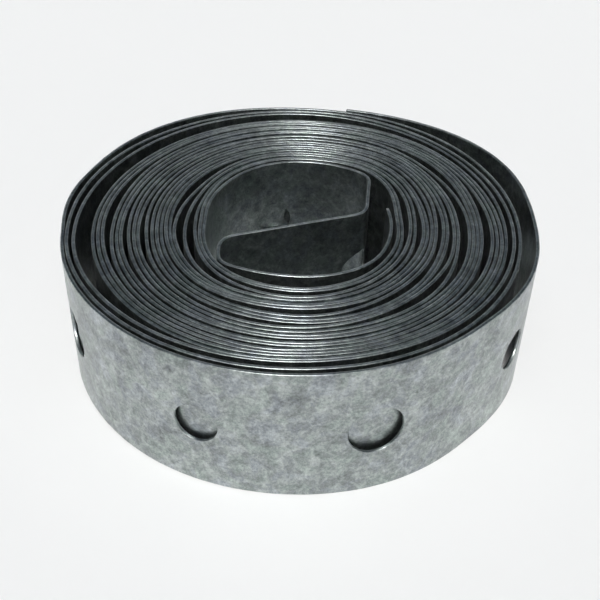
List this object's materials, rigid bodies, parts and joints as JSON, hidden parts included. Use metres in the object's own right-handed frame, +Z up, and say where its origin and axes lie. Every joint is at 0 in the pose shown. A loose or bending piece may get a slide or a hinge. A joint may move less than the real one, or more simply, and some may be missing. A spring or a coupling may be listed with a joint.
{
  "type": "galvanized band iron",
  "caption": "Loose coil of narrow galvanized steel band with alternating large and small punched holes, its inner end folded back across the bore as an S.",
  "frame": {"origin": "on the floor, under the middle of the coil's outline", "axes": "+Z up along the coil's axis, which is the band's width; the outer end of the band lies at the back, towards +Y"},
  "size_m": [0.062, 0.0616, 0.0191],
  "materials": {
    "galvanized_steel": "dull spangled zinc over cold-rolled sheet steel, bright sheared edges"
  },
  "bodies": {
    "root": {"band": "galvanized_steel"}
  },
  "joints": []
}
